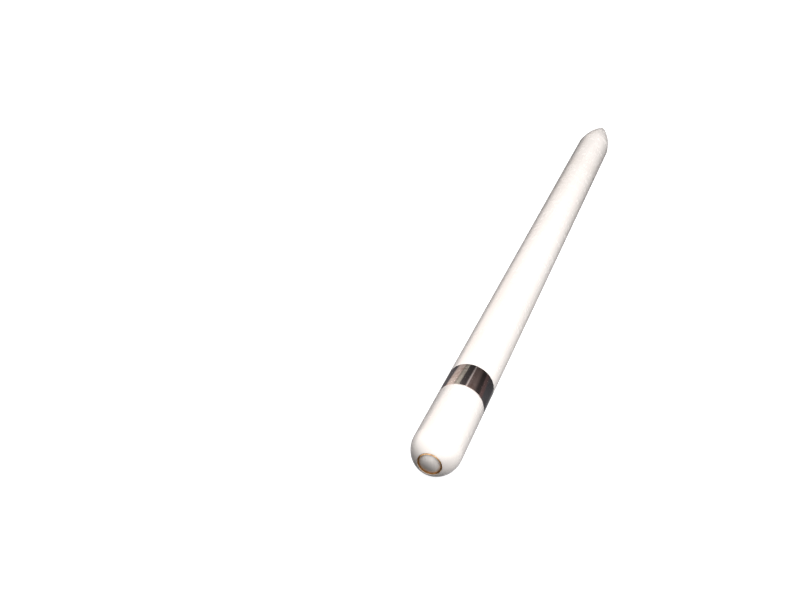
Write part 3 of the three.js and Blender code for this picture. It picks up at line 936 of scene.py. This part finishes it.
class PEN_OT_cap_end_disc(Operator):
    """Turn the small crowned disc that is set into the dome's end"""

    bl_idname = "pen.cap_end_disc"
    bl_label = "Cap End Disc"

    def execute(self, context):
        outline = outline_of("cap_end_disc")
        widest = max(r for x, r in outline)
        rim = (LOW.x + sizes().disc_crown, widest)
        rest = [p for p in outline if p[0] > rim[0] + WELD]
        if rest[0][1] < rest[-1][1]:
            rest.reverse()
        points = crown_points(LOW.x, rim, sizes().dome_steps) + rest
        shape = lathe(eased(points, sizes().disc_edge, closed=False), closed=False)
        settle("cap_disc", shape, ["cap_end_disc"], white_gloss_plastic())
        return {"FINISHED"}


class PEN_OT_cap_rings(Operator):
    """Turn the bronze ring around the disc, and the cup and the ring magnet inside the cap"""

    bl_idname = "pen.cap_rings"
    bl_label = "Cap Rings"

    def execute(self, context):
        metal = sizes().metal_edge
        ring = outline_of("cap_trim_ring")
        front, outer = min(x for x, r in ring), max(r for x, r in ring)
        slanted = [
            (x + sizes().ring_slant * (x < front + WELD and r > outer - WELD), r) for x, r in ring
        ]
        shape = lathe(eased(slanted, 1.5 * metal))
        settle("cap_bronze_ring", shape, ["cap_trim_ring"], bronze_ring_metal())
        turned_piece("cap_inner_cup", "cap_liner", grey_plastic(), sizes().moulded_edge)
        turned_piece("cap_ring_magnet", "cap_magnet_ring", bright_nickel(), metal)
        return {"FINISHED"}


# ---------------------------------------------------------------- band, collar and plug


class PEN_OT_metal_band(Operator):
    """Turn the polished dark metal band"""

    bl_idname = "pen.metal_band"
    bl_label = "Metal Band"

    def execute(self, context):
        turned_piece("metal_band", "band", dark_mirror_metal(), sizes().metal_edge)
        return {"FINISHED"}


class PEN_OT_end_collar(Operator):
    """Turn the white collar that holds the plug, and the steel ring that the magnet pulls on"""

    bl_idname = "pen.end_collar"
    bl_label = "End Collar"

    def execute(self, context):
        outline = outline_of("end_collar")
        points = [(outline[0][0], 0.0), *outline, (outline[-1][0], 0.0)]
        body = lathe(eased(points, sizes().moulded_edge, closed=False), closed=False)
        low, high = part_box("plug_frame")
        flange_low, flange_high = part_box("plug_retainer")
        bar_half = (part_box("plug_contact_1")[1].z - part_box("plug_contact_1")[0].z) / 2
        room = Vector((0.0, PLUG_ROOM, PLUG_ROOM))
        front = Vector((low.x, low.y, AXIS_HEIGHT - bar_half)) - room
        back = Vector((high.x, high.y, AXIS_HEIGHT + bar_half)) + room
        slot = bar(front, back, half_round=True)
        pocket_low = Vector((high.x - POCKET_DEPTH, flange_low.y, flange_low.z)) - room
        pocket_high = Vector((outline[-1][0] + MM, flange_high.y, flange_high.z)) + room
        shape = carved(body, [slot, bar(pocket_low, pocket_high)])
        settle("plug_collar", shape, ["end_collar"], white_matte_plastic())
        turned_piece("catch_ring_steel", "catch_ring", turned_steel(), sizes().metal_edge)
        return {"FINISHED"}


class PEN_OT_charging_plug(Operator):
    """Make the flat plug: its steel frame, the insulator and the gold contacts"""

    bl_idname = "pen.charging_plug"
    bl_label = "Charging Plug"

    def execute(self, context):
        edge = sizes().metal_edge
        frame_shape = softened_copy(["plug_frame"], 1.6 * edge, rounds=3)
        settle("plug_steel_frame", frame_shape, ["plug_frame"], brushed_steel())
        core_shape = softened_copy(["plug_core"], 0.5 * edge)
        settle("plug_insulator", core_shape, ["plug_core"], black_plastic())
        contacts = sorted(n for n in frame["nodes"] if n.startswith("plug_contact"))
        settle("plug_gold_contacts", softened_copy(contacts, 0.6 * edge), contacts, contact_gold())
        return {"FINISHED"}


# ---------------------------------------------------------------- barrel and tip


def flowing(points, steps):
    """A smooth line through points, in (x, radius), with steps between each two."""
    ends = [Vector(points[0]) * 2 - Vector(points[1]), Vector(points[-1]) * 2 - Vector(points[-2])]
    line = [ends[0], *(Vector(p) for p in points), ends[1]]
    made = []
    for a, b, c, d in zip(line, line[1:], line[2:], line[3:]):
        for step in range(steps):
            t = step / steps
            square = (2 * a - 5 * b + 4 * c - d) * t**2
            cube = (3 * b - a - 3 * c + d) * t**3
            made.append(tuple((2 * b + (c - a) * t + square + cube) / 2))
    return [*made, tuple(points[-1])]


class PEN_OT_barrel(Operator):
    """Turn the long white barrel with its tapered nose, and the guide bush in the nose"""

    bl_idname = "pen.barrel"
    bl_label = "Barrel"

    def execute(self, context):
        outline = outline_of("barrel_shell")
        nose, wide = max(outline), max(p for p in outline if p[1] > BODY_RADIUS - WELD)
        outline = outline[outline.index(wide) :] + outline[: outline.index(wide)]
        if outline[1][0] < wide[0]:
            outline = [outline[0], *reversed(outline[1:])]
        at = outline.index(nose)
        points = flowing(outline[: at + 1], FRONT_ROWS) + outline[at + 1 :]
        points = eased(points, sizes().moulded_edge)
        settle("white_barrel", lathe(points), ["barrel_shell"], white_gloss_plastic())
        turned_piece("nose_guide_bush", "nose_bush", finish_of("nose_bush"), sizes().metal_edge)
        return {"FINISHED"}


def threaded(outline, radius, pitch, depth):
    """outline with rows for a thread on its plain stretch at radius, and the ripple that cuts it.

    The thread is right-handed. Half a turn at each end of the stretch stays plain.
    """
    at = next(
        i
        for i in range(len(outline))
        if abs(outline[i - 1][1] - radius) < WELD and abs(outline[i][1] - radius) < WELD
    )
    first, last = outline[at - 1][0], outline[at][0]
    count = max(2, round(abs(last - first) / pitch * THREAD_ROWS))
    rows = [(first + (last - first) * i / count, radius) for i in range(1, count)]
    low, high = sorted((first, last))

    def ripple(x, r, angle):
        if abs(r - radius) > WELD:
            return 0.0
        inside = min(x - low, high - x) - pitch / 2
        fade = min(1.0, max(0.0, inside / pitch * 2))
        turn = (x / pitch - angle / (2 * math.pi)) % 1.0
        return depth * fade * (4 * abs(turn - 0.5) - 1)

    return outline[:at] + rows + outline[at:], ripple


class PEN_OT_tip(Operator):
    """Turn the white tip with its ball point"""

    bl_idname = "pen.tip"
    bl_label = "Tip"

    def execute(self, context):
        outline = outline_of("tip_shell")
        if outline[0][0] > outline[-1][0]:
            outline.reverse()
        wide = max(range(len(outline)), key=lambda i: outline[i][1])
        size = ball_radius(outline[-2])
        ball = wide
        while abs(ball_radius(outline[ball]) - size) > ROUNDNESS:
            ball += 1
        front = flowing(outline[wide : ball + 1], FRONT_ROWS)
        points = outline[:wide] + front[:-1] + ball_points(outline[ball], sizes().dome_steps)
        points = eased(points, sizes().moulded_edge, closed=False)
        settle("white_tip", lathe(points, closed=False), ["tip_shell"], white_gloss_plastic())
        return {"FINISHED"}


class PEN_OT_tip_fittings(Operator):
    """Turn the threaded stem, the seal, and the brass insert and core pin inside the tip"""

    bl_idname = "pen.tip_fittings"
    bl_label = "Tip Fittings"

    def execute(self, context):
        pitch, depth = sizes().thread_pitch, sizes().thread_depth
        edge = sizes().metal_edge
        stem = outline_of("tip_post")
        if stem[0][0] > stem[-1][0]:
            stem.reverse()
        points, ripple = threaded(eased(stem, edge, closed=False), stem[-2][1], pitch, depth)
        shape = lathe(points, closed=False, ripple=ripple)
        settle("threaded_tip_stem", shape, ["tip_post"], turned_steel())
        insert = outline_of("tip_insert")
        bore = min(r for x, r in insert)
        points, ripple = threaded(eased(insert, edge), bore, pitch, depth)
        settle("brass_tip_insert", lathe(points, ripple=ripple), ["tip_insert"], turned_brass())
        turned_piece("tip_seal", "tip_seal_ring", grey_rubber(), 4 * edge)
        turned_piece("tip_pin", "tip_core_pin", bright_nickel(), 2 * edge)
        return {"FINISHED"}


# ---------------------------------------------------------------- stage


class PEN_OT_studio(Operator):
    """Lay the pale floor and set the soft light and the camera"""

    bl_idname = "pen.studio"
    bl_label = "Studio"

    def execute(self, context):
        lay_floor()
        light_studio(context.scene)
        place_camera(context.scene)
        return {"FINISHED"}


def lay_floor():
    reach = studio().floor_reach
    shape = bmesh.new()
    ring = []
    for i in range(FLOOR_SIDES):
        angle = 2 * math.pi * i / FLOOR_SIDES
        place = (reach * math.cos(angle), reach * math.sin(angle), LOW.z - FLOOR_GAP)
        ring.append(shape.verts.new(place))
    shape.faces.new(ring)
    mesh = bpy.data.meshes.new("pale_floor")
    shape.to_mesh(mesh)
    shape.free()
    floor = bpy.data.objects.new("pale_floor", mesh)
    bpy.context.scene.collection.objects.link(floor)
    paper = bpy.data.materials.new("pale_paper")
    paper.use_nodes = True
    shader = paper.node_tree.nodes["Principled BSDF"]
    shader.inputs["Base Color"].default_value = (0.35, 0.35, 0.35, 1.0)
    shader.inputs["Roughness"].default_value = 1.0
    shader.inputs["Specular IOR Level"].default_value = 0.0
    shader.inputs["Emission Color"].default_value = WHITE
    shader.inputs["Emission Strength"].default_value = 0.9
    mesh.materials.append(paper)
    floor.visible_glossy = False
    floor.visible_diffuse = False
    floor.visible_shadow = False


# Broad cards around the pen's axis that only gloss picks up: (from, to, red, green, blue).
# Their edges are in degrees about the axis, where 0 is +Y and 90 is straight up.
CARDS = (
    (-58, -6, 0.16, 0.15, 0.16),
    (6, 35, 0.95, 0.80, 0.72),
    (40, 44, 0.44, 0.39, 0.34),
    (50, 60, 0.65, 0.62, 0.54),
    (65, 90, 0.10, 0.09, 0.09),
    (96, 98, 0.80, 0.72, 0.70),
    (101, 128, 0.22, 0.17, 0.16),
    (145, 162, 0.06, 0.05, 0.05),
    (168, 180, 0.18, 0.12, 0.12),
    (190, 240, 0.10, 0.10, 0.11),
    (270, 290, 0.26, 0.26, 0.27),
)
FIRST_EDGE = CARDS[0][0]

# Each row is a span of one axis of a unit direction, and the values at its ends.
LESS_AT_POINT = (0.1, 0.8, 1.0, 0.0)  # the soft light's share, from the point's side
LESS_AT_CAP = (-0.85, 0.05, 0.15, 1.0)  # the same from the cap's side
FAR_SHADE = (0.66, 0.92, 1.5, 0.35)  # the surround's strength, duller toward the pen's point
FRONT_GLOW = (-0.3, 0.35, 0.04, 3.0)  # the light before the cap's end, by height
FRONT_TO_SURROUND = (0.2, 0.5, 0.0, 1.0)  # the surround's share, from the cap's end on

SOFT_COLOUR = (1.0, 0.985, 0.975, 1.0)
FRONT_COLOUR = (1.0, 0.96, 0.92, 1.0)
WHITE = (1.0, 1.0, 1.0, 1.0)


def glow(sky, colour, strength):
    """A background of one colour. strength is a number or a socket."""
    node = sky.add("ShaderNodeBackground")
    if isinstance(colour, bpy.types.NodeSocket):
        sky.join(colour, node.inputs["Color"])
    else:
        node.inputs["Color"].default_value = colour
    sky.feed(strength, node.inputs["Strength"])
    return node.outputs[0]


def mixed(sky, share, first, second):
    """first where share is 0 and second where it is 1."""
    node = sky.add("ShaderNodeMixShader")
    for source, socket in zip((share, first, second), node.inputs):
        sky.join(source, socket)
    return node.outputs[0]


def soft_strength(sky, direction, along):
    """How strong the soft light is: brighter from its own side, less along the pen."""
    toward = sky.add("ShaderNodeVectorMath", operation="DOT_PRODUCT")
    sky.join(direction, toward.inputs[0])
    toward.inputs[1].default_value = Vector(studio().light_side).normalized()
    slope, level = studio().light_slope, studio().light_level
    strength = sky.maths("MULTIPLY_ADD", toward.outputs["Value"], slope, level)
    ends = sky.maths(
        "MULTIPLY", sky.mapped(along, *LESS_AT_POINT), sky.mapped(along, *LESS_AT_CAP)
    )
    return sky.maths("MULTIPLY", sky.maths("MAXIMUM", strength, 0.0), ends)


def card_colour(sky, across, up):
    """The cards' colours, by the angle about the pen's axis."""
    angle = sky.maths("ARCTAN2", up, across)
    from_first = sky.maths("SUBTRACT", angle, math.radians(FIRST_EDGE))
    ramp = sky.add("ShaderNodeValToRGB")
    sky.join(sky.maths("FRACT", sky.maths("DIVIDE", from_first, math.tau)), ramp.inputs[0])
    stops = ramp.color_ramp.elements
    edges = [(degrees, tone) for low, high, *tone in CARDS for degrees in (low, high)]
    ready = len(stops)
    for i, (degrees, tone) in enumerate(edges):
        place = (degrees - FIRST_EDGE) / 360
        stop = stops[i] if i < ready else stops.new(place)
        stop.position = place
        stop.color = (*tone, 1.0)
    return ramp.outputs["Color"]


def light_studio(scene):
    """The soft light, the surround that only gloss picks up, and the white that the camera sees."""
    world = bpy.data.worlds.new("studio")
    scene.world = world
    world.use_nodes = True
    world.cycles.sampling_method = "NONE"
    sky = Nodes(world.node_tree)
    sky.tree.nodes.clear()
    direction = sky.add("ShaderNodeTexCoord").outputs["Generated"]
    parts = sky.add("ShaderNodeSeparateXYZ")
    sky.join(direction, parts.inputs[0])
    along, across, up = parts.outputs
    soft = glow(sky, SOFT_COLOUR, soft_strength(sky, direction, along))
    surround = glow(sky, card_colour(sky, across, up), sky.mapped(along, *FAR_SHADE))
    front = glow(sky, FRONT_COLOUR, sky.mapped(up, *FRONT_GLOW))
    by_place = mixed(sky, sky.mapped(along, *FRONT_TO_SURROUND), front, surround)
    ray = sky.add("ShaderNodeLightPath").outputs
    by_gloss = mixed(sky, ray["Is Glossy Ray"], soft, by_place)
    by_camera = mixed(sky, ray["Is Camera Ray"], by_gloss, glow(sky, WHITE, 1.0))
    out = sky.add("ShaderNodeOutputWorld")
    sky.join(by_camera, out.inputs["Surface"])
    scene.view_settings.view_transform = "Standard"


def place_camera(scene):
    lens = bpy.data.cameras.new("studio_camera")
    lens.sensor_width = SENSOR_WIDTH
    lens.lens = studio().lens
    lens.clip_start = 2 * MM
    lens.clip_end = 4 * studio().floor_reach
    camera = bpy.data.objects.new("studio_camera", lens)
    scene.collection.objects.link(camera)
    camera.location = CAP_END + Vector(studio().camera_offset)
    tilt = math.pi / 2 - studio().camera_pitch
    camera.rotation_euler = (tilt, 0.0, studio().camera_heading - math.pi / 2)
    scene.camera = camera


# ---------------------------------------------------------------- carried-over solids


class PEN_OT_carried_over(Operator):
    """Give each CAD solid that still shows its own finish"""

    bl_idname = "pen.carried_over"
    bl_label = "Finish Carried-over Solids"

    def execute(self, context):
        for node, solid in frame["nodes"].items():
            if solid.hide_render:
                continue
            solid.data.materials.clear()
            solid.data.materials.append(finish_of(node))
        return {"FINISHED"}


OPERATORS = (
    PEN_OT_cap_dome,
    PEN_OT_cap_end_disc,
    PEN_OT_cap_rings,
    PEN_OT_metal_band,
    PEN_OT_end_collar,
    PEN_OT_charging_plug,
    PEN_OT_barrel,
    PEN_OT_tip,
    PEN_OT_tip_fittings,
    PEN_OT_carried_over,
    PEN_OT_studio,
)


class PEN_PT_pieces(Panel):
    """Lists the pen's pieces and the studio"""

    bl_idname = "PEN_PT_pieces"
    bl_label = "White Stylus Pen"
    bl_space_type = "VIEW_3D"
    bl_region_type = "UI"
    bl_category = "Pen"

    def draw(self, context):
        layout = self.layout
        for operator in OPERATORS:
            layout.operator(operator.bl_idname)
        for group in (context.scene.pen_sizes, context.scene.pen_finishes, context.scene.pen_studio):
            box = layout.box()
            for name in group.__annotations__:
                box.prop(group, name)


GROUPS = {"pen_sizes": PenSizes, "pen_finishes": PenFinishes, "pen_studio": StudioSettings}


def register():
    for group in GROUPS.values():
        bpy.utils.register_class(group)
    for name, group in GROUPS.items():
        setattr(bpy.types.Scene, name, PointerProperty(type=group))
    for operator in OPERATORS:
        bpy.utils.register_class(operator)
    bpy.utils.register_class(PEN_PT_pieces)


def unregister():
    bpy.utils.unregister_class(PEN_PT_pieces)
    for operator in reversed(OPERATORS):
        bpy.utils.unregister_class(operator)
    for name, group in GROUPS.items():
        delattr(bpy.types.Scene, name)
        bpy.utils.unregister_class(group)


def main():
    register()
    for operator in OPERATORS:
        getattr(bpy.ops.pen, operator.bl_idname.split(".")[1])()


if __name__ == "__main__":
    main()
